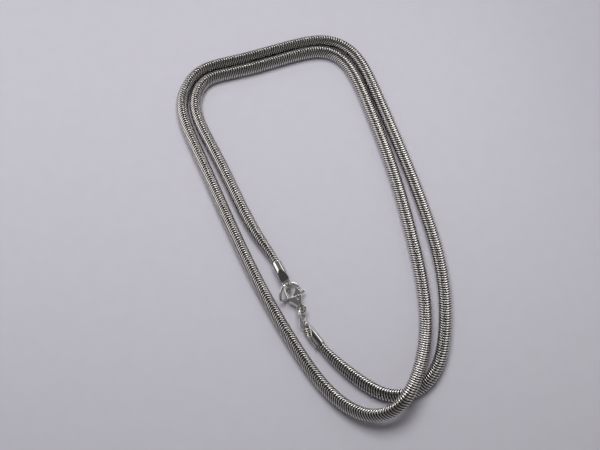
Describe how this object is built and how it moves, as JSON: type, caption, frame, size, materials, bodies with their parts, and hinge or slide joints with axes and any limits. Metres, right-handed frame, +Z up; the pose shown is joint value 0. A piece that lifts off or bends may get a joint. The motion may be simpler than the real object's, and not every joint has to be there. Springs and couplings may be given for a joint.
{
  "type": "snake chain necklace",
  "caption": "Round polished steel snake chain necklace, laid twice round, with crimped end caps, jump rings and a lobster clasp.",
  "frame": {"origin": "middle of the necklace's footprint, on the surface that it lies on", "axes": "+X to the right and +Y away from the viewer as the necklace lies, its clasp near the front left; +Z up from the surface"},
  "size_m": [0.0701, 0.1086, 0.007],
  "materials": {
    "chain_steel": "polished stainless steel, ribbed by its links",
    "polished_steel": "polished stainless steel"
  },
  "bodies": {
    "necklace": {"chain": "chain_steel", "end_cap_a": "polished_steel", "end_cap_b": "polished_steel", "jump_ring_a": "polished_steel", "jump_ring_b": "polished_steel", "clasp_body": "polished_steel", "clasp_pin": "polished_steel"},
    "lever": {"clasp_lever": "polished_steel"}
  },
  "joints": [
    {"name": "clasp_lever_hinge", "type": "hinge", "parent": "necklace", "child": "lever", "pos_m": [-0.00258, -0.02294, 0.00175], "axis": [-0.0253, 0.1205, 0.9924], "range_deg": [0, 18], "stiffness_Nm_per_rad": 0.002}
  ]
}
